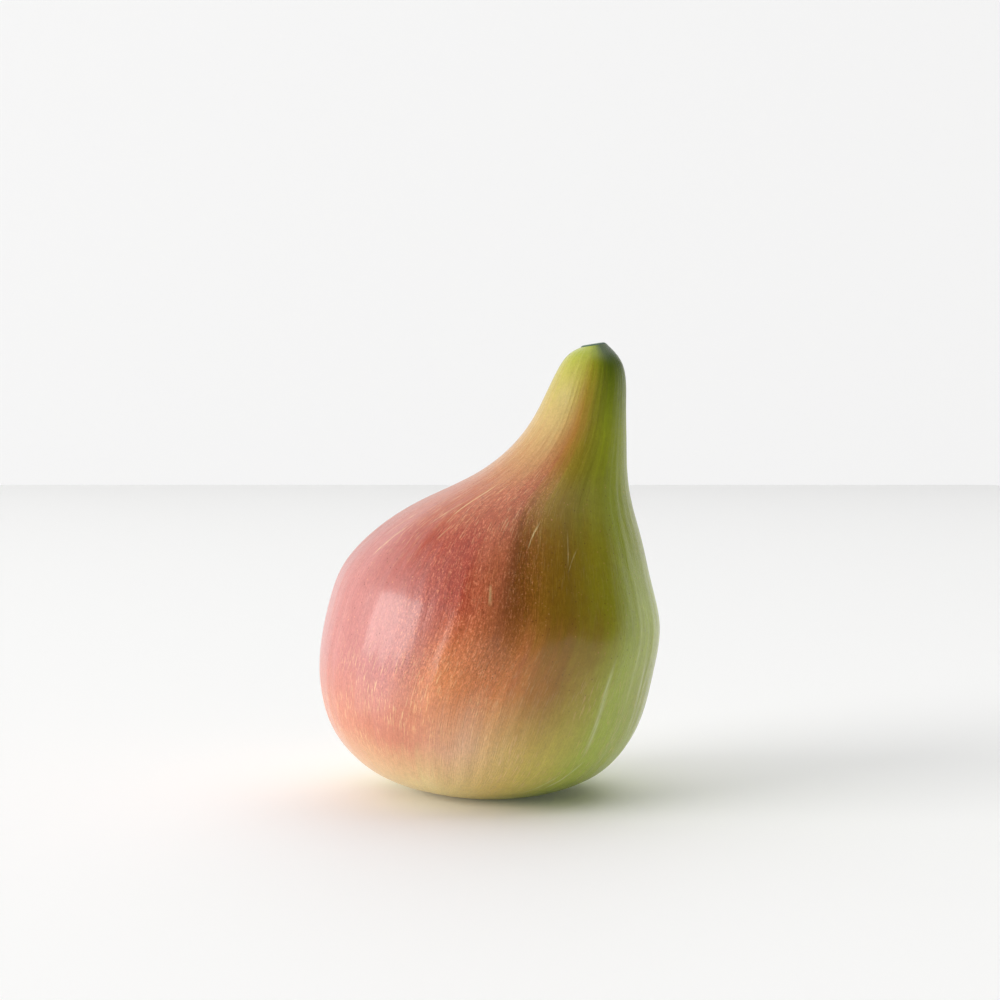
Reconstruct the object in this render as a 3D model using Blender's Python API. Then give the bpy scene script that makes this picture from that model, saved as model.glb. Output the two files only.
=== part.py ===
# A fresh fig, standing on its soft underside with its neck leaning to one side.
#
# It grew as one piece, so it is one closed solid: a faintly ribbed bulb, a neck drawn out to +X, a small
# flat where the stem was cut, a flat patch where the ripe fruit rests, and the eye, a sunken scar on the
# underside at the far end from the neck. Metres, +Z up, origin on the resting surface below the bulb.

import math

import bmesh
import bpy
import numpy as np
from mathutils import Vector

MM = 0.001
HEIGHT = 62 * MM  # resting surface to the top of the cut stem
AROUND = 60  # points in each ring round the fruit
RINGS = 44  # rings from the eye to the cut stem
CROWDING = 0.6  # how much closer the rings lie at both ends than in the middle, 0 to 1

# Slices across the fruit from the eye to the cut stem, in hundredths of the height: left edge (x, z),
# right edge (x, z), then the depth front to back as a share of the width.
SLICES = (
    ((-8.0, 0.0), (-8.0, 0.0), 1.00),
    ((-17.5, 1.6), (2.5, -1.0), 1.00),
    ((-25.8, 4.9), (13.5, 0.1), 0.99),
    ((-32.2, 10.5), (23.4, 3.6), 0.98),
    ((-36.4, 18.0), (30.2, 9.6), 0.98),
    ((-38.0, 27.0), (34.4, 17.8), 0.98),
    ((-37.3, 35.5), (36.8, 27.5), 0.98),
    ((-35.3, 44.0), (38.0, 37.0), 0.98),
    ((-32.0, 51.5), (36.0, 47.0), 0.97),
    ((-25.0, 58.8), (33.6, 56.0), 0.95),
    ((-14.8, 65.2), (31.5, 64.0), 0.94),
    ((-2.0, 71.5), (30.4, 71.3), 0.94),
    ((7.6, 80.0), (30.2, 78.5), 0.96),
    ((12.8, 89.0), (30.2, 86.5), 0.99),
    ((16.7, 96.2), (29.8, 94.5), 1.00),
    ((20.0, 99.5), (26.0, 100.0), 1.00),
)

# Ribs from the neck towards the eye: bearing in degrees, 0 at +X and 270 at the front, then height in
# hundredths of the slice's half width (a groove is negative) and half width in degrees.
RIBS = (
    (10, 1.2, 12),
    (48, -1.0, 9),
    (72, 1.3, 12),
    (117, -1.0, 9),
    (140, 1.3, 12),
    (187, -0.9, 9),
    (209, 1.2, 10),
    (240, -0.8, 7),
    (254, 1.0, 6),
    (266, 1.2, 8),
    (280, -1.5, 7),
    (292, 1.0, 8),
    (312, -0.8, 6),
    (326, 1.1, 9),
)
RIBS_START = 0.12  # share of the length where ribs begin to rise above the underside
RIBS_FULL = 0.45  # share where they reach their full height

EYE_RADIUS = 2.8 * MM
EYE_DEPTH = 1.1 * MM
EYE_FLOOR = 0.3  # share of the eye's radius that is level floor
FIRST_RING = 0.006  # share of the length where the first ring lies, on the floor of the eye


def clear_scene():
    for thing in list(bpy.data.objects):
        bpy.data.objects.remove(thing, do_unlink=True)


def smooth_step(low, high, x):
    x = min(max((x - low) / (high - low), 0.0), 1.0)
    return x * x * (3 - 2 * x)


def spline_controls():
    """Control values of the even cubic curve that passes through every slice."""
    slices = np.array([(*left, *right, depth) for left, right, depth in SLICES])
    count = len(slices)
    weights = np.eye(count) * 4 / 6 + np.eye(count, k=1) / 6 + np.eye(count, k=-1) / 6
    weights[0] = np.eye(count)[0]
    weights[-1] = np.eye(count)[-1]
    controls = np.linalg.solve(weights, slices)
    before, after = 2 * controls[0] - controls[1], 2 * controls[-1] - controls[-2]
    return np.vstack((before, controls, after))


def slice_at(share, controls):
    """Left edge, right edge and depth share of the slice at a share of the way along."""
    place = share * (len(SLICES) - 1)
    i = min(int(place), len(SLICES) - 2)
    t = place - i
    blend = ((1 - t) ** 3, 3 * t**3 - 6 * t**2 + 4, -3 * t**3 + 3 * t**2 + 3 * t + 1, t**3)
    left_x, left_z, right_x, right_z, depth = np.array(blend) @ controls[i : i + 4] / 6
    left = Vector((left_x, 0.0, left_z)) * HEIGHT / 100
    right = Vector((right_x, 0.0, right_z)) * HEIGHT / 100
    return left, right, depth


def rib_height(bearing, share):
    """How far the skin stands out at a bearing, as a share of the slice's half width."""
    total = 0.0
    for middle, height, width in RIBS:
        away = (bearing - middle + 180) % 360 - 180
        total += height / 100 * math.exp(-((away / width) ** 2))
    return total * smooth_step(RIBS_START, RIBS_FULL, share)


def skin_point(share, step, controls):
    """The point of the skin at a share of the way along and a step round the ring."""
    left, right, depth = slice_at(share, controls)
    middle, across = (left + right) / 2, (right - left) / 2
    turn = math.tau * (step / AROUND + 0.25)  # a circle's first point lies at the back
    outwards = across * math.cos(turn) + Vector((0.0, across.length * depth, 0.0)) * math.sin(turn)
    point = middle + outwards * (1 + rib_height(math.degrees(turn), share))
    point.z = max(point.z, 0.0)  # the soft underside is pressed flat
    if share < RIBS_START:
        point.z += EYE_DEPTH * (1 - smooth_step(EYE_FLOOR, 1.0, across.length / EYE_RADIUS))
    return point


def place_ring(verts, share, controls):
    for step, vert in enumerate(verts):
        vert.co = skin_point(share, step, controls)


def ring_shares():
    """Where the rings lie along the fruit, closer together near the eye and the cut stem."""
    even = [i / (RINGS - 1) for i in range(RINGS)]
    crowded = [t - CROWDING * math.sin(math.tau * t) / math.tau for t in even]
    return [FIRST_RING + (1 - FIRST_RING) * t for t in crowded]


def make_skin():
    """The floor of the eye, extruded ring by ring up to the cut stem and closed there."""
    controls = spline_controls()
    first, *others = ring_shares()
    bm = bmesh.new()
    ring = bmesh.ops.create_circle(bm, cap_ends=True, segments=AROUND, radius=1.0)["verts"]
    place_ring(ring, first, controls)
    rim = list(bm.edges)
    for share in others:
        grown = bmesh.ops.extrude_edge_only(bm, edges=rim)["geom"]
        place_ring([part for part in grown if isinstance(part, bmesh.types.BMVert)], share, controls)
        rim = [part for part in grown if isinstance(part, bmesh.types.BMEdge) and part.is_boundary]
    bmesh.ops.contextual_create(bm, geom=rim)
    bmesh.ops.recalc_face_normals(bm, faces=bm.faces)
    return bm


def centre_on_origin(bm):
    """Moves the skin level, so that the middle of its bounding box stands over the origin."""
    across = [vert.co.x for vert in bm.verts]
    deep = [vert.co.y for vert in bm.verts]
    middle = Vector((min(across) + max(across), min(deep) + max(deep), 0.0)) / 2
    bmesh.ops.translate(bm, verts=bm.verts, vec=-middle)


def skin_material():
    material = bpy.data.materials.new("fig_skin")
    material.use_nodes = True
    shader = material.node_tree.nodes["Principled BSDF"]
    shader.inputs["Base Color"].default_value = (0.42, 0.24, 0.11, 1.0)
    shader.inputs["Roughness"].default_value = 0.42
    shader.inputs["Metallic"].default_value = 0.0
    return material


def make_fig():
    bm = make_skin()
    centre_on_origin(bm)
    mesh = bpy.data.meshes.new("fig")
    bm.to_mesh(mesh)
    bm.free()
    mesh.materials.append(skin_material())
    mesh.shade_smooth()
    mesh.set_sharp_from_angle(angle=math.radians(35))
    bpy.context.scene.collection.objects.link(bpy.data.objects.new("fig", mesh))


clear_scene()
make_fig()
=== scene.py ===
# A fresh fig standing on its soft underside, its neck leaning to the right, in plain window light.
import math
import random

import bmesh
import bpy
import numpy as np
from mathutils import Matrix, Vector, noise


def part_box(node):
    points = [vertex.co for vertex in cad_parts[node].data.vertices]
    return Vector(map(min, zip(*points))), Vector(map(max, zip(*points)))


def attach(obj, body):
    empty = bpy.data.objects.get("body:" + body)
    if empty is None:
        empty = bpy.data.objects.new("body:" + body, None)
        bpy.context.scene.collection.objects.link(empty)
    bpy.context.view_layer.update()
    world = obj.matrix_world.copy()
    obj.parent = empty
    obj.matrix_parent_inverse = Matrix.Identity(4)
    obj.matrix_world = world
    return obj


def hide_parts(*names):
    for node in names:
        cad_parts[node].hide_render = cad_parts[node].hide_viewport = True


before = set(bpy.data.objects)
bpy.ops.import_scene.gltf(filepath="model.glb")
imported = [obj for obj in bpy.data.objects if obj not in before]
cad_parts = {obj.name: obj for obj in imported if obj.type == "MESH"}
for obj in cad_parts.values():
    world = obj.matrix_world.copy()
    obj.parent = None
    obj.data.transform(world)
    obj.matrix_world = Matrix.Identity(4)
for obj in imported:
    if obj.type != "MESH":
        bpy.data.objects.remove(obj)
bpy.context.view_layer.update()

lowCorner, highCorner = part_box("fig")
figHeight = highCorner.z - lowCorner.z
figMiddle = (lowCorner + highCorner) / 2
mm = 0.001

# The outline, in hundredths of the fig's height, as slices from the eye to the cut stem:
# left edge (x, z), right edge (x, z), depth front to back as a share of the width.
outline = {
    "slices": (
        ((-8.0, 0.0), (-8.0, 0.0), 1.00),
        ((-17.5, 1.6), (2.5, -1.0), 1.00),
        ((-25.8, 4.9), (13.5, 0.1), 0.99),
        ((-32.2, 10.5), (23.4, 3.6), 0.98),
        ((-36.4, 18.0), (30.2, 9.6), 0.98),
        ((-38.0, 27.0), (34.4, 17.8), 0.98),
        ((-37.3, 35.5), (36.8, 27.5), 0.98),
        ((-35.3, 44.0), (38.0, 37.0), 0.98),
        ((-32.0, 51.5), (36.0, 47.0), 0.97),
        ((-24.9, 58.8), (34.0, 56.0), 0.95),
        ((-14.7, 65.2), (31.9, 64.0), 0.94),
        ((-2.0, 71.5), (30.8, 71.3), 0.94),
        ((7.6, 80.0), (30.6, 78.5), 0.96),
        ((12.8, 89.0), (30.5, 86.5), 0.99),
        ((16.7, 96.3), (29.9, 94.7), 1.00),
        ((20.4, 99.0), (26.0, 99.9), 1.00),
    ),
    "around": 320,  # points in each ring
    "eyeRings": 46,  # fine rings over the eye
    "bodyRings": 190,  # rings from there to the cut stem
    "eyeShares": (0.003, 0.045),  # share of the length at the first and the last of the eye's rings
    "crowding": 0.45,  # how much closer the rings lie at both ends of the body
    "boxShare": 0.9998,  # how much of the fig's box the finished fruit may fill
}

# Ribs run from the neck to the eye. Bearing in degrees (0 at +X, 270 at the front), height in hundredths
# of the slice's half width, half width in degrees. Folds also have a middle and half length, as shares.
ribs = {
    "ribs": (
        (10, 1.2, 12),
        (48, -1.0, 9),
        (72, 1.3, 12),
        (117, -1.0, 9),
        (140, 1.3, 12),
        (187, -0.9, 9),
        (209, 0.9, 10),
        (231, -0.45, 10),
        (253, 0.5, 6),
        (266, -0.5, 6),
        (281, 0.6, 7),
        (295, -0.5, 6),
        (310, 0.6, 7),
        (331, -0.6, 8),
    ),
    "folds": (
        (246, -0.7, 3.5, 0.43, 0.14),
        (260, 1.2, 5.5, 0.54, 0.15),
        (269.5, -1.8, 5.5, 0.54, 0.14),
        (284, 0.7, 6, 0.50, 0.16),
        (308, 1.1, 6, 0.58, 0.25),
        (100, 1.2, 6, 0.52, 0.18),
        (112, -1.6, 6, 0.54, 0.16),
        (160, -1.0, 6, 0.45, 0.15),
        (28, -1.1, 6, 0.50, 0.16),
    ),
    "start": 0.12,  # share of the length where the ribs begin
    "full": 0.42,  # and where they reach full height
    "neck": 0.45,  # how much of them is left on the neck
    "lean": 9,  # how far the front ribs bow to the right, in degrees
    "leanFront": 278,  # the bearing where they bow most
    "leanShare": (0.53, 0.15),  # middle and half length of the bow
    "wrinkle": 0.07,  # height of the fine wrinkles, in mm
}

eye = {
    "radius": 2.9,  # mm
    "tiers": ((2.35, 0.75, 11), (1.60, 0.65, 9), (0.95, 0.5, 7)),  # rim, length and count of scales
    "step": 0.38,  # how far each tier of scales stands above the one inside it, mm
    "soft": 0.10,  # how round the scales' edges are, mm
    "bowl": 0.25,  # how much the middle rises above the rim, mm
}

cutStem = {
    # towards the middle of the cut: how wide each ring is, and how far it stands above the rim in mm
    "rings": (
        (0.97, 0.05), (0.92, 0.12), (0.84, 0.19), (0.74, 0.21),
        (0.62, 0.17), (0.48, 0.12), (0.30, 0.14), (0.12, 0.08),
    ),
    "bump": 0.4,
    "bumpHeight": 0.3,  # mm
}


def smoothStep(low, high, x):
    x = np.clip((x - low) / (high - low), 0.0, 1.0)
    return x * x * (3 - 2 * x)


def splineControls():
    # control values of the even cubic curve that passes through every slice
    slices = np.array([(*left, *right, depth) for left, right, depth in outline["slices"]])
    count = len(slices)
    weights = np.eye(count) * 4 / 6 + np.eye(count, k=1) / 6 + np.eye(count, k=-1) / 6
    weights[0] = np.eye(count)[0]
    weights[-1] = np.eye(count)[-1]
    controls = np.linalg.solve(weights, slices)
    return np.vstack((2 * controls[0] - controls[1], controls, 2 * controls[-1] - controls[-2]))


def sliceAt(share, controls):
    last = len(outline["slices"]) - 1
    i = min(int(share * last), last - 1)
    t = share * last - i
    blend = np.array(((1 - t) ** 3, 3 * t**3 - 6 * t**2 + 4, -3 * t**3 + 3 * t**2 + 3 * t + 1, t**3))
    leftX, leftZ, rightX, rightZ, depth = blend @ controls[i : i + 4] / 6
    left = np.array((leftX, 0.0, leftZ)) * figHeight / 100
    right = np.array((rightX, 0.0, rightZ)) * figHeight / 100
    return left, right, depth


def bump(away, width):
    return np.exp(-((away / width) ** 2))


def leaned(bearing, share):
    # the true bearing of a rib that starts from this one at the eye
    middle, length = ribs["leanShare"]
    front = np.clip(np.cos(np.radians(bearing - ribs["leanFront"])), 0, 1)
    return bearing + ribs["lean"] * front * bump(share - middle, length)


def ribRelief(bearing, share):
    # as a share of the slice's half width
    long, short = np.zeros_like(bearing), np.zeros_like(bearing)
    for middle, height, width in ribs["ribs"]:
        long += height / 100 * bump((bearing - middle + 180) % 360 - 180, width)
    for middle, height, width, shareMiddle, shareLength in ribs["folds"]:
        away = (bearing - middle + 180) % 360 - 180
        short += height / 100 * bump(away, width) * bump(share - shareMiddle, shareLength)
    onNeck = 1 - (1 - ribs["neck"]) * smoothStep(0.60, 0.80, share)
    return long * smoothStep(ribs["start"], ribs["full"], share) * onNeck + short


def wrinkleRelief(bearing, share):
    # fine ridges along the fruit, in metres
    turn = np.radians(bearing)
    heights = [
        noise.noise(Vector((math.cos(a) * 14, math.sin(a) * 14, share * 5)))
        + 0.5 * noise.noise(Vector((math.cos(a) * 34, math.sin(a) * 34, share * 7 + 9)))
        for a in turn
    ]
    fade = smoothStep(0.10, 0.22, share) * (1 - 0.5 * smoothStep(0.55, 0.8, share))
    return np.array(heights) * ribs["wrinkle"] * mm * fade


def eyeRelief(bearing, radius):
    # scales in tiers that point inwards, in metres up from the rim
    turn = np.radians(bearing)
    sunk = np.zeros_like(bearing)
    for place, (rim, length, count) in enumerate(eye["tiers"]):
        wave = np.abs(np.cos(turn * count / 2 + place * 1.1))  # 1 at the middle of each scale
        tip = (rim - length * wave**0.8) * mm
        sunk += eye["step"] * mm * (1 - smoothStep(-eye["soft"] * mm, eye["soft"] * mm, radius - tip))
    bowl = eye["bowl"] * mm * (1 - smoothStep(0.2, 1.0, radius / (eye["radius"] * mm)))
    return sunk + bowl


def ringPoints(share, controls):
    left, right, depth = sliceAt(share, controls)
    middle, across = (left + right) / 2, (right - left) / 2
    radius = np.linalg.norm(across)
    bearing = (np.arange(outline["around"]) / outline["around"] * 360 + 90) % 360
    turn = np.radians(leaned(bearing, share))[:, None]
    outwards = across * np.cos(turn) + np.array((0.0, radius * depth, 0.0)) * np.sin(turn)
    unit = outwards / np.linalg.norm(outwards, axis=1)[:, None]
    points = middle + outwards * (1 + ribRelief(bearing, share)[:, None])
    points += unit * wrinkleRelief(bearing, share)[:, None]
    points[:, 2] = np.maximum(points[:, 2], 0.0)
    if share < ribs["start"]:
        points[:, 2] += eyeRelief(bearing, radius)
    return points


def ringShares():
    eyeStart, eyeEnd = outline["eyeShares"]
    fine = np.linspace(eyeStart, eyeEnd, outline["eyeRings"])
    even = np.linspace(0, 1, outline["bodyRings"] + 1)[1:]
    crowded = even - outline["crowding"] * np.sin(math.tau * even) / math.tau
    return [*fine, *(eyeEnd + (1 - eyeEnd) * crowded)]


def fitInside(bm):
    # the wrinkles stand proud of the outline, so the whole is brought back inside the fig's box
    corners = np.array([vert.co[:] for vert in bm.verts])
    low, high = corners.min(axis=0), corners.max(axis=0)
    fit = min(1.0, *((np.array(highCorner) - np.array(lowCorner)) * outline["boxShare"] / (high - low)))
    bmesh.ops.translate(bm, verts=bm.verts, vec=(-(low[0] + high[0]) / 2, -(low[1] + high[1]) / 2, 0.0))
    bmesh.ops.scale(bm, verts=bm.verts, vec=(fit, fit, fit))
    bmesh.ops.translate(bm, verts=bm.verts, vec=(figMiddle.x, figMiddle.y, lowCorner.z))


def makeFig():
    controls = splineControls()
    bm = bmesh.new()
    ring = bmesh.ops.create_circle(bm, cap_ends=True, segments=outline["around"], radius=1.0)["verts"]
    rim = list(bm.edges)
    share, *others = ringShares()
    rows = [(ring, share)]
    for share in others:
        grown = bmesh.ops.extrude_edge_only(bm, edges=rim)["geom"]
        rows.append(([part for part in grown if isinstance(part, bmesh.types.BMVert)], share))
        rim = [part for part in grown if isinstance(part, bmesh.types.BMEdge) and part.is_boundary]
    for verts, share in rows:
        for vert, point in zip(verts, ringPoints(share, controls)):
            vert.co = point
    lastRing = [vert.co.copy() for vert in rows[-1][0]]
    centre = sum(lastRing, Vector()) / len(lastRing)
    normal = (lastRing[0] - centre).cross(lastRing[len(lastRing) // 4] - centre).normalized()
    if normal.z < 0:
        normal = -normal
    for shrink, lift in cutStem["rings"]:
        grown = bmesh.ops.extrude_edge_only(bm, edges=rim)["geom"]
        verts = [part for part in grown if isinstance(part, bmesh.types.BMVert)]
        rows.append((verts, 2 - shrink))
        rim = [part for part in grown if isinstance(part, bmesh.types.BMEdge) and part.is_boundary]
        for vert, start in zip(verts, lastRing):
            vert.co = centre.lerp(start, shrink) + normal * lift * mm
        for face in [part for part in grown if isinstance(part, bmesh.types.BMFace)]:
            face.material_index = 1
    cap = bmesh.ops.contextual_create(bm, geom=rim)["faces"][0]
    cap.material_index = 1
    for face in bm.faces:
        face.smooth = True

    # skinMap: u once round the fruit, v from the eye (0) to the cut stem (1) and in to its middle (2)
    skinMap = bm.loops.layers.uv.new("skinMap")
    shareOf = {}
    for verts, share in rows:
        for step, vert in enumerate(verts):
            shareOf[vert] = (step / outline["around"] + 0.25, share)
    for face in bm.faces:
        known = [loop for loop in face.loops if loop.vert in shareOf]
        high = max((shareOf[loop.vert][0] for loop in known), default=0)
        for loop in known:
            u, v = shareOf[loop.vert]
            loop[skinMap].uv = (u + 1 if high - u > 0.5 and len(face.verts) == 4 else u, v)
    bmesh.ops.recalc_face_normals(bm, faces=bm.faces)
    fitInside(bm)
    mesh = bpy.data.meshes.new("figFruit")
    bm.to_mesh(mesh)
    bm.free()
    piece = bpy.data.objects.new("figFruit", mesh)
    bpy.context.scene.collection.objects.link(piece)
    return piece


def paint(red, green, blue):
    # a colour given (0 to 255) as the shader's linear values
    def linear(value):
        value /= 255
        return value / 12.92 if value <= 0.04045 else ((value + 0.055) / 1.055) ** 2.4

    return (linear(red), linear(green), linear(blue), 1.0)


class NodeBoard:
    # adds nodes and joins them up, so that a material reads as a list of steps
    def __init__(self, material):
        self.tree = material.node_tree

    def add(self, kind, inputs=None, out=0, **settings):
        made = self.tree.nodes.new(kind)
        for name, value in settings.items():
            setattr(made, name, value)
        for name, value in (inputs or {}).items():
            if isinstance(value, bpy.types.NodeSocket):
                self.tree.links.new(value, made.inputs[name])
            else:
                made.inputs[name].default_value = value
        return made.outputs[out]

    def math(self, operation, a, b=0.0, c=0.0, clamp=False):
        return self.add("ShaderNodeMath", {0: a, 1: b, 2: c}, operation=operation, use_clamp=clamp)

    def between(self, value, low, high):
        # 0 below low, 1 above high, smooth between
        inputs = {"Value": value, "From Min": low, "From Max": high}
        return self.add("ShaderNodeMapRange", inputs, interpolation_type="SMOOTHSTEP")

    def share(self, value, low, high):
        # the same in a straight line
        return self.add("ShaderNodeMapRange", {"Value": value, "From Min": low, "From Max": high})

    def vector(self, x, y, z):
        return self.add("ShaderNodeCombineXYZ", {"X": x, "Y": y, "Z": z})

    def mix(self, share, a, b, blend="MIX"):
        made = self.tree.nodes.new("ShaderNodeMix")
        made.data_type = "RGBA"
        made.blend_type = blend
        for socket, value in ((made.inputs[0], share), (made.inputs[6], a), (made.inputs[7], b)):
            if isinstance(value, bpy.types.NodeSocket):
                self.tree.links.new(value, socket)
            else:
                socket.default_value = value
        return made.outputs[2]

    def ramp(self, value, stops):
        made = self.tree.nodes.new("ShaderNodeValToRGB")
        self.tree.links.new(value, made.inputs["Fac"])
        elements = made.color_ramp.elements
        while len(elements) < len(stops):
            elements.new(0.5)
        for element, (place, colour) in zip(elements, stops):
            element.position = place
            element.color = colour
        return made.outputs["Color"]

    def noise(self, vector, scale, detail=2.0, roughness=0.5):
        inputs = {"Vector": vector, "Scale": scale, "Detail": detail, "Roughness": roughness}
        return self.add("ShaderNodeTexNoise", inputs, out="Fac")


skinColours = {
    "rose": paint(185, 120, 115),
    "brick": paint(165, 70, 50),
    "terracotta": paint(180, 100, 65),
    "coral": paint(200, 130, 105),
    "copper": paint(205, 125, 75),
    # brown skin; on the bands at the fold valley it is also painted shade
    "chestnut": paint(130, 80, 25),
    "bronze": paint(150, 120, 25),
    "ochre": paint(180, 130, 60),
    "honey": paint(215, 165, 105),
    "sand": paint(190, 160, 100),
    "peach": paint(220, 175, 140),
    "cream": paint(235, 215, 155),
    "straw": paint(220, 195, 105),
    "olive": paint(150, 140, 45),
    "leaf": paint(185, 200, 80),
    "fern": paint(160, 170, 40),
    "grass": paint(140, 155, 25),
    # painted shade: the tip's green darkened on the side away from the window
    "shadedTipGreen": paint(60, 90, 5),
    "wax": paint(240, 245, 200),
}

skinLook = {
    # colours round the fruit (by bearing) at rising heights along it; each row starts and ends at the
    # back, so its last colour is the same as its first
    "bands": (
        (0.05, ((90, "leaf"), (200, "straw"), (270, "straw"), (330, "leaf"))),
        (0.15, ((90, "leaf"), (140, "straw"), (190, "peach"), (250, "cream"), (285, "straw"),
                (320, "leaf"))),
        (0.27, ((90, "leaf"), (140, "honey"), (190, "coral"), (245, "coral"), (265, "peach"),
                (290, "straw"), (315, "leaf"))),
        (0.38, ((90, "bronze"), (130, "copper"), (170, "rose"), (235, "rose"), (250, "copper"),
                (270, "copper"), (290, "ochre"), (315, "leaf"), (450, "bronze"))),
        # on this row and the next, the chestnut at 270 lies in the fold valley: brown skin darkened there
        # as painted shade
        (0.50, ((90, "bronze"), (130, "terracotta"), (165, "rose"), (230, "rose"), (250, "brick"),
                (260, "terracotta"), (270, "chestnut"), (290, "bronze"), (315, "fern"), (330, "leaf"),
                (420, "leaf"), (450, "bronze"))),
        (0.60, ((90, "olive"), (130, "terracotta"), (180, "brick"), (210, "rose"), (230, "brick"),
                (250, "brick"), (260, "terracotta"), (270, "chestnut"), (290, "bronze"), (320, "fern"),
                (420, "fern"), (450, "olive"))),
        (0.70, ((90, "fern"), (130, "ochre"), (180, "terracotta"), (260, "terracotta"), (275, "bronze"),
                (295, "olive"), (320, "fern"))),
        (0.82, ((90, "fern"), (150, "ochre"), (190, "sand"), (245, "sand"), (265, "ochre"), (280, "olive"),
                (300, "fern"))),
        # at the tip the green is darkened as painted shade from the right front round to the back, away
        # from the window
        (0.97, ((90, "grass"), (150, "grass"), (200, "fern"), (250, "fern"), (270, "grass"),
                (295, "shadedTipGreen"), (400, "shadedTipGreen"), (450, "grass"))),
    ),
    # larger scars and waxy streaks: bearing and height of both ends, half width and softness in mm,
    # strength, colour
    "marks": (
        ((230, 0.64), (233, 0.72), 0.12, 0.08, 0.90, "cream"),
        ((260, 0.50), (259, 0.54), 0.18, 0.16, 0.45, "cream"),
        ((300, 0.40), (300, 0.52), 1.40, 1.60, 0.35, "chestnut"),
        ((275, 0.35), (275, 0.48), 0.50, 0.60, 0.40, "terracotta"),
        ((313, 0.26), (310, 0.44), 0.22, 0.40, 0.80, "wax"),
        ((336, 0.30), (334, 0.44), 0.26, 0.45, 0.75, "wax"),
        ((326, 0.34), (325, 0.54), 0.25, 0.60, 0.40, "wax"),
        ((308, 0.18), (316, 0.27), 0.14, 0.20, 0.80, "wax"),
        ((300, 0.16), (309, 0.24), 0.10, 0.15, 0.65, "wax"),
        ((70, 0.30), (66, 0.44), 0.30, 0.45, 0.50, "wax"),
        ((25, 0.46), (22, 0.56), 0.10, 0.10, 0.45, "wax"),
    ),
    # fine scratches scattered over the shoulder: where they may start, how far they run
    "scratches": {
        "seed": 7,
        "count": 13,
        "bearings": (130, 290),
        "heights": (0.55, 0.68),
        "turn": (-4.0, 8.0),
        "rise": (0.03, 0.08),
        "halfWidth": 0.10,
        "softness": 0.07,
        "strength": (0.35, 0.85),
    },
    "scuffAndGlint": 253,  # bearing of the scuffed belt, which also carries painted glints
    "redSide": 235,  # bearing the reddest skin faces
    "girth": 130.0,  # mm round the bulb, where most marks are
    "roughness": (0.26, 0.38),
    "specular": 0.18,
    "coat": 0.38,
    "coatRoughness": 0.15,
    "sheen": 0.02,
    "sheenRoughness": 0.25,
    "bump": 0.22,
    "bumpHeight": 0.3,  # mm
    "grainScale": 3600.0,
    "mottleScale": 900.0,
    "patchScale": 160.0,
    "dotScale": 2300.0,
}


def scatteredScratches():
    # in the same form as the marks
    scratches = skinLook["scratches"]
    draw = random.Random(scratches["seed"])
    for i in range(scratches["count"]):
        bearing = draw.uniform(*scratches["bearings"])
        height = draw.uniform(*scratches["heights"])
        end = (bearing + draw.uniform(*scratches["turn"]), height + draw.uniform(*scratches["rise"]))
        strength = draw.uniform(*scratches["strength"])
        yield (bearing, height), end, scratches["halfWidth"], scratches["softness"], strength, "cream"


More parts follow.
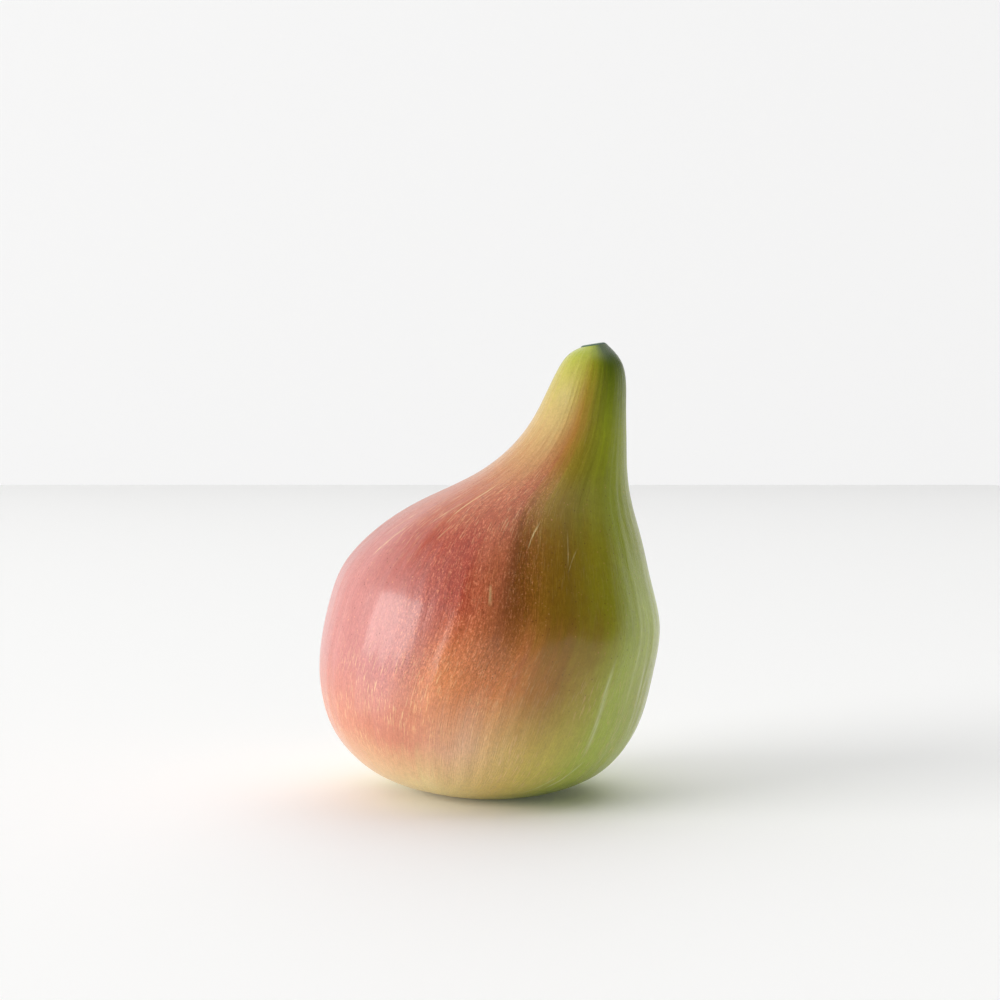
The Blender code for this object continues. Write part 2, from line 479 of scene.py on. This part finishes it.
def skinMaterial():
    material = bpy.data.materials.new("figSkin")
    material.use_nodes = True
    nodes = NodeBoard(material)
    shader = material.node_tree.nodes["Principled BSDF"]

    # where on the skin: round the fruit as a circle, and along it from the eye
    skinMap = nodes.add("ShaderNodeUVMap", uv_map="skinMap")
    around = nodes.add("ShaderNodeSeparateXYZ", {"Vector": skinMap}, out="X")
    along = around.node.outputs["Y"]
    angle = nodes.math("MULTIPLY", around, math.tau)
    east = nodes.math("COSINE", angle)
    north = nodes.math("SINE", angle)

    def streaks(across, length, detail=2.0):
        # noise drawn out along the fruit
        x = nodes.math("MULTIPLY", east, across)
        y = nodes.math("MULTIPLY", north, across)
        return nodes.noise(nodes.vector(x, y, nodes.math("MULTIPLY", along, length)), 1.0, detail, 0.6)

    def facing(bearing):
        # 1 where the skin faces this bearing, falling to -1 on the other side
        across = nodes.math("MULTIPLY", north, math.sin(math.radians(bearing)))
        return nodes.math("MULTIPLY_ADD", east, math.cos(math.radians(bearing)), across)

    def swayed(value, *sways):
        for texture, amount in sways:
            value = nodes.math("MULTIPLY_ADD", nodes.math("SUBTRACT", texture, 0.5), amount, value)
        return value

    broad = streaks(4.0, 3.0, 3.0)
    streak = streaks(24.0, 6.0, 3.0)
    fine = streaks(70.0, 28.0)
    hair = streaks(150.0, 52.0, 1.0)
    fleck = streaks(105.0, 150.0)
    objectPlace = nodes.add("ShaderNodeTexCoord", out="Object")
    grain = nodes.noise(objectPlace, skinLook["grainScale"], 2.0, 0.8)
    mottle = nodes.noise(objectPlace, skinLook["mottleScale"], 2.0, 0.6)
    patch = nodes.noise(objectPlace, skinLook["patchScale"])

    # the colour bands, blended by height, with streaky borders
    turn = swayed(nodes.math("SUBTRACT", around, 0.25), (broad, 0.035), (streak, 0.02), (mottle, 0.012))
    height = swayed(along, (broad, 0.05), (streak, 0.06), (hair, 0.05))
    colour = None
    for level, stops in skinLook["bands"]:
        ramp = nodes.ramp(turn, [((bearing - 90) / 360, skinColours[name]) for bearing, name in stops])
        colour = ramp if colour is None else nodes.mix(nodes.share(height, below, level), colour, ramp)
        below = level

    # light and dark grain, coarse and speckled in a scuffed belt where the skin is reddest; the pale specks
    # there are painted glints
    belt = nodes.math("SUBTRACT", nodes.between(height, 0.30, 0.42), nodes.between(height, 0.66, 0.80))
    belt = nodes.math("MULTIPLY", belt, nodes.between(facing(skinLook["scuffAndGlint"]), 0.88, 0.99))
    belt = nodes.math("MULTIPLY", belt, nodes.math("MULTIPLY_ADD", patch, 2.0, -0.1, clamp=True))
    redSide = facing(skinLook["redSide"])
    scuffAndGlint = nodes.math("MULTIPLY_ADD", nodes.between(redSide, 0.35, 0.90), 0.10, belt, clamp=True)
    coarse = nodes.math("MULTIPLY_ADD", scuffAndGlint, 0.7, 0.26)
    shade = swayed(1.0, (grain, coarse), (fleck, coarse), (mottle, 0.20), (fine, 0.16), (streak, 0.20))
    colour = nodes.mix(1.0, colour, nodes.vector(shade, shade, shade), "MULTIPLY")
    # painted glints: pale orange flecks where the grain's tiny bumps would catch the light
    glintFlecks = nodes.math("MULTIPLY", nodes.between(fleck, 0.52, 0.68), nodes.between(grain, 0.40, 0.58))
    glintFlecks = nodes.math("MULTIPLY", glintFlecks, scuffAndGlint)
    colour = nodes.mix(nodes.math("MULTIPLY", glintFlecks, 0.45), colour, paint(232, 160, 122))

    # pale hairlines, dense low down and on the shoulder
    lowDown = nodes.math("SUBTRACT", nodes.between(height, 0.14, 0.24), nodes.between(height, 0.30, 0.46))
    shoulder = nodes.math("SUBTRACT", nodes.between(height, 0.56, 0.64), nodes.between(height, 0.70, 0.80))
    shoulder = nodes.math("MULTIPLY", shoulder, nodes.between(redSide, 0.75, 0.97))
    amount = nodes.math("MULTIPLY_ADD", lowDown, 0.55, nodes.math("MULTIPLY_ADD", shoulder, 0.26, 0.10))
    patches = nodes.between(patch, 0.30, 0.62)
    hairs = nodes.math("MULTIPLY", nodes.between(hair, 0.56, 0.70), nodes.math("MULTIPLY", amount, patches))
    colour = nodes.mix(hairs, colour, paint(242, 206, 152))

    # breathing dots, a few of them dark
    cells = {"Vector": objectPlace, "Scale": skinLook["dotScale"]}
    dots = nodes.add("ShaderNodeTexVoronoi", cells, out="Distance")
    luck = nodes.add("ShaderNodeSeparateColor", {"Color": dots.node.outputs["Color"]}, out="Red")
    spot = nodes.math("SUBTRACT", 1.0, nodes.between(dots, 0.12, 0.34))
    onBulb = nodes.math("SUBTRACT", nodes.between(height, 0.30, 0.42), nodes.between(height, 0.70, 0.80))
    spot = nodes.math("MULTIPLY", spot, onBulb)
    pale = nodes.math("MULTIPLY", spot, nodes.between(luck, 0.70, 1.05))
    pale = nodes.math("MULTIPLY", pale, nodes.math("MULTIPLY_ADD", mottle, 3.0, -1.0, clamp=True))
    colour = nodes.mix(nodes.math("MULTIPLY", pale, 0.60), colour, paint(236, 170, 118))
    dark = nodes.math("MULTIPLY", spot, nodes.math("LESS_THAN", luck, 0.08))
    colour = nodes.mix(nodes.math("MULTIPLY", dark, 0.5), colour, paint(84, 40, 24))

    for start, stop, halfWidth, soft, strength, tint in (*skinLook["marks"], *scatteredScratches()):
        # how far along the mark, and how far aside from it in mm
        travel = nodes.math("DIVIDE", nodes.math("SUBTRACT", along, start[1]), stop[1] - start[1])
        middle = nodes.math("MULTIPLY_ADD", travel, (stop[0] - start[0]) / 360, start[0] / 360)
        aside = nodes.math("ABSOLUTE", nodes.math("SUBTRACT", swayed(around, (streak, 0.006)), middle))
        aside = nodes.math("MULTIPLY", aside, skinLook["girth"])
        ends = nodes.math("MULTIPLY", nodes.between(travel, 0.0, 0.3), nodes.between(travel, 1.0, 0.7))
        line = nodes.math("MULTIPLY", nodes.between(aside, halfWidth + soft, halfWidth - soft), ends)
        line = nodes.math("MULTIPLY", line, nodes.math("MULTIPLY_ADD", fine, 1.4, -0.05, clamp=True))
        colour = nodes.mix(nodes.math("MULTIPLY", line, strength), colour, skinColours[tint])

    # the eye's scales, tan and brown
    eyeBrown = nodes.ramp(fine, ((0.35, paint(120, 84, 44)), (0.65, paint(176, 138, 84))))
    colour = nodes.mix(nodes.between(height, 0.052, 0.030), colour, eyeBrown)

    nodes.tree.links.new(colour, shader.inputs["Base Color"])
    smoothest, roughest = skinLook["roughness"]
    roughness = nodes.math("MULTIPLY_ADD", fine, roughest - smoothest, smoothest)
    nodes.tree.links.new(roughness, shader.inputs["Roughness"])

    lumps = nodes.math("MULTIPLY_ADD", streak, 0.5, nodes.math("MULTIPLY_ADD", fine, 0.3, hair))
    lumps = nodes.math("MULTIPLY_ADD", grain, coarse, lumps)
    relief = {"Strength": skinLook["bump"], "Distance": skinLook["bumpHeight"] * mm, "Height": lumps}
    nodes.tree.links.new(nodes.add("ShaderNodeBump", relief), shader.inputs["Normal"])
    shader.inputs["Specular IOR Level"].default_value = skinLook["specular"]
    shader.inputs["Coat Weight"].default_value = skinLook["coat"]
    shader.inputs["Coat Roughness"].default_value = skinLook["coatRoughness"]
    shader.inputs["Sheen Weight"].default_value = skinLook["sheen"]
    shader.inputs["Sheen Roughness"].default_value = skinLook["sheenRoughness"]
    return material


def cutMaterial():
    # the cut stem: a dark rim, pale dried milk over green fibres inside it
    material = bpy.data.materials.new("figCutStem")
    material.use_nodes = True
    nodes = NodeBoard(material)
    shader = material.node_tree.nodes["Principled BSDF"]
    objectPlace = nodes.add("ShaderNodeTexCoord", out="Object")
    skinMap = nodes.add("ShaderNodeUVMap", uv_map="skinMap")
    inwards = nodes.add("ShaderNodeSeparateXYZ", {"Vector": skinMap}, out="Y")
    fibres = nodes.noise(objectPlace, 2600.0, 3.0, 0.7)
    milk = nodes.noise(objectPlace, 900.0, 2.0, 0.6)
    fromRim = nodes.math("SUBTRACT", inwards, 1.0)
    place = nodes.math("MULTIPLY_ADD", nodes.math("SUBTRACT", fibres, 0.5), 0.35, fromRim)
    stops = (
        (0.00, paint(54, 80, 58)),
        (0.12, paint(76, 106, 86)),
        (0.40, paint(116, 138, 98)),
        (0.75, paint(150, 162, 112)),
        (1.00, paint(138, 134, 84)),
    )
    milky = nodes.math("MULTIPLY", nodes.between(milk, 0.52, 0.66), nodes.between(inwards, 1.25, 1.5))
    colour = nodes.mix(milky, nodes.ramp(place, stops), paint(196, 200, 172))
    nodes.tree.links.new(colour, shader.inputs["Base Color"])
    nodes.tree.links.new(nodes.math("MULTIPLY_ADD", milk, -0.3, 0.75), shader.inputs["Roughness"])
    relief = {"Strength": cutStem["bump"], "Distance": cutStem["bumpHeight"] * mm, "Height": fibres}
    nodes.tree.links.new(nodes.add("ShaderNodeBump", relief), shader.inputs["Normal"])
    return material


def plainMaterial(name, colour, roughness, glow=0.0):
    material = bpy.data.materials.new(name)
    material.use_nodes = True
    shader = material.node_tree.nodes["Principled BSDF"]
    shader.inputs["Base Color"].default_value = colour
    shader.inputs["Roughness"].default_value = roughness
    shader.inputs["Specular IOR Level"].default_value = 0.2
    shader.inputs["Emission Color"].default_value = (1.0, 1.0, 1.0, 1.0)
    shader.inputs["Emission Strength"].default_value = glow
    return material


stageLook = {
    "gap": 0.05 * mm,  # between the fig's underside and the floor
    "wallBehind": 0.634,  # metres from the fig's middle
    "reach": 2.4,  # how far the floor runs each way
    "wallHeight": 0.22,
    "floorColour": (0.90, 0.90, 0.896, 1.0),
    "floorGlow": 0.04,  # a pale translucent table top, lit from below
    "wallColour": (0.15, 0.15, 0.15, 1.0),
    "wallGlow": 0.78,  # a wall lit from behind, as bright as the floor
}


def flatPanel(name, corners, material):
    bm = bmesh.new()
    bm.faces.new([bm.verts.new(corner) for corner in corners])
    mesh = bpy.data.meshes.new(name)
    bm.to_mesh(mesh)
    bm.free()
    mesh.materials.append(material)
    panel = bpy.data.objects.new(name, mesh)
    bpy.context.scene.collection.objects.link(panel)
    return panel


def makeStage():
    reach, back = stageLook["reach"], stageLook["wallBehind"]
    floorZ = lowCorner.z - stageLook["gap"]
    floorLook = plainMaterial("paleFloor", stageLook["floorColour"], 0.7, stageLook["floorGlow"])
    wallLook = plainMaterial("paleWall", stageLook["wallColour"], 0.9, stageLook["wallGlow"])
    cornersAt = ((-reach, back), (reach, back))
    floorCorners = [(-reach, -reach, floorZ), (reach, -reach, floorZ)]
    floorCorners += [(x, y, floorZ) for x, y in cornersAt[::-1]]
    wallTop = floorZ + stageLook["wallHeight"]
    wallCorners = [(x, y, floorZ) for x, y in cornersAt] + [(x, y, wallTop) for x, y in cornersAt[::-1]]
    flatPanel("floor", floorCorners, floorLook)
    flatPanel("wall", wallCorners, wallLook)


windowLook = {
    "panes": (
        # bearing, elevation, width, height in degrees as seen from the fig, metres away, strength
        (202, 15, 40, 30, 2.2, 7.2),
    ),
    "windowColour": (1.0, 0.99, 0.97),
    # a bright card on the table: middle x, y, size x, y, strength
    "card": (-0.130, -0.042, 0.17, 0.07, 1.5),
    "cardLift": 0.5,  # mm above the fig's resting height
}


def hangLamp(name, wide, tall, strength):
    light = bpy.data.lights.new(name, "AREA")
    light.shape = "RECTANGLE"
    light.size, light.size_y = wide, tall
    light.energy = strength * light.size * light.size_y * math.pi
    lamp = bpy.data.objects.new(name, light)
    bpy.context.scene.collection.objects.link(lamp)
    lamp.visible_camera = False
    return lamp


def makeWindow():
    for i, (bearing, elevation, wide, tall, away, strength) in enumerate(windowLook["panes"]):
        a, e = math.radians(bearing), math.radians(elevation)
        towards = Vector((math.cos(a) * math.cos(e), math.sin(a) * math.cos(e), math.sin(e)))
        sizes = [2 * away * math.tan(math.radians(degrees / 2)) for degrees in (wide, tall)]
        lamp = hangLamp(f"window{i}", *sizes, strength)
        lamp.data.color = windowLook["windowColour"]
        lamp.location = Vector((figMiddle.x, figMiddle.y, figHeight * 0.4)) + towards * away
        lamp.rotation_euler = (-towards).to_track_quat("-Z", "Y").to_euler()
    x, y, wide, deep, strength = windowLook["card"]
    lamp = hangLamp("tableCard", wide, deep, strength)
    lamp.location = (x, y, lowCorner.z + windowLook["cardLift"] * mm)
    lamp.rotation_euler = (math.pi, 0.0, 0.0)


roomLook = {
    "bright": 1.38,  # pale walls and ceiling
    # the unlit room in front and the dark doorway on the right: bearing, how far towards it the
    # darkening starts and ends (0 to 1), what is left of the light
    "dark": (
        (286, 0.08, 0.55, 0.01),
        (14, 0.48, 0.80, 0.12),
    ),
    "rightSide": 0.41,  # how much brighter it is on the right than overhead
    "seen": (0.93, 0.93, 0.93, 1.0),
}


def makeRoom():
    world = bpy.data.worlds.new("roomLight")
    world.use_nodes = True
    bpy.context.scene.world = world
    nodes = NodeBoard(world)
    background = world.node_tree.nodes["Background"]
    direction = nodes.add("ShaderNodeTexCoord", out="Generated")
    east = nodes.add("ShaderNodeSeparateXYZ", {"Vector": direction}, out="X")
    glow = nodes.math("MULTIPLY_ADD", east, roomLook["rightSide"] * roomLook["bright"], roomLook["bright"])
    for bearing, start, full, left in roomLook["dark"]:
        middle = math.radians(bearing)
        north = nodes.math("MULTIPLY", east.node.outputs["Y"], math.sin(middle))
        towards = nodes.math("MULTIPLY_ADD", east, math.cos(middle), north)
        dimmed = nodes.math("MULTIPLY_ADD", nodes.between(towards, start, full), left - 1.0, 1.0)
        glow = nodes.math("MULTIPLY", glow, dimmed)
    lit = nodes.vector(glow, glow, glow)
    seen = nodes.add("ShaderNodeLightPath", out="Is Camera Ray")
    nodes.tree.links.new(nodes.mix(seen, lit, roomLook["seen"]), background.inputs["Color"])


cameraPlace = {
    "lens": 85,
    "sensor": 36,
    "away": 324.5 * mm,
    "height": 64.0 * mm,
    "aside": 1.45 * mm,
    "tilt": 4.185,  # degrees down
}


def makeCamera():
    lens = bpy.data.cameras.new("studioCamera")
    lens.lens = cameraPlace["lens"]
    lens.sensor_width = cameraPlace["sensor"]
    camera = bpy.data.objects.new("studioCamera", lens)
    bpy.context.scene.collection.objects.link(camera)
    camera.location = (cameraPlace["aside"], -cameraPlace["away"], lowCorner.z + cameraPlace["height"])
    camera.rotation_euler = (math.radians(90 - cameraPlace["tilt"]), 0.0, 0.0)
    bpy.context.scene.camera = camera


figFruit = makeFig()
figFruit.data.materials.append(skinMaterial())
figFruit.data.materials.append(cutMaterial())
print("fig fruit made:", len(figFruit.data.polygons), "faces")

makeStage()
makeWindow()
makeRoom()
makeCamera()
bpy.context.scene.view_settings.view_transform = "Standard"
print("stage, light and camera set")

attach(figFruit, "root")
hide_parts("fig")
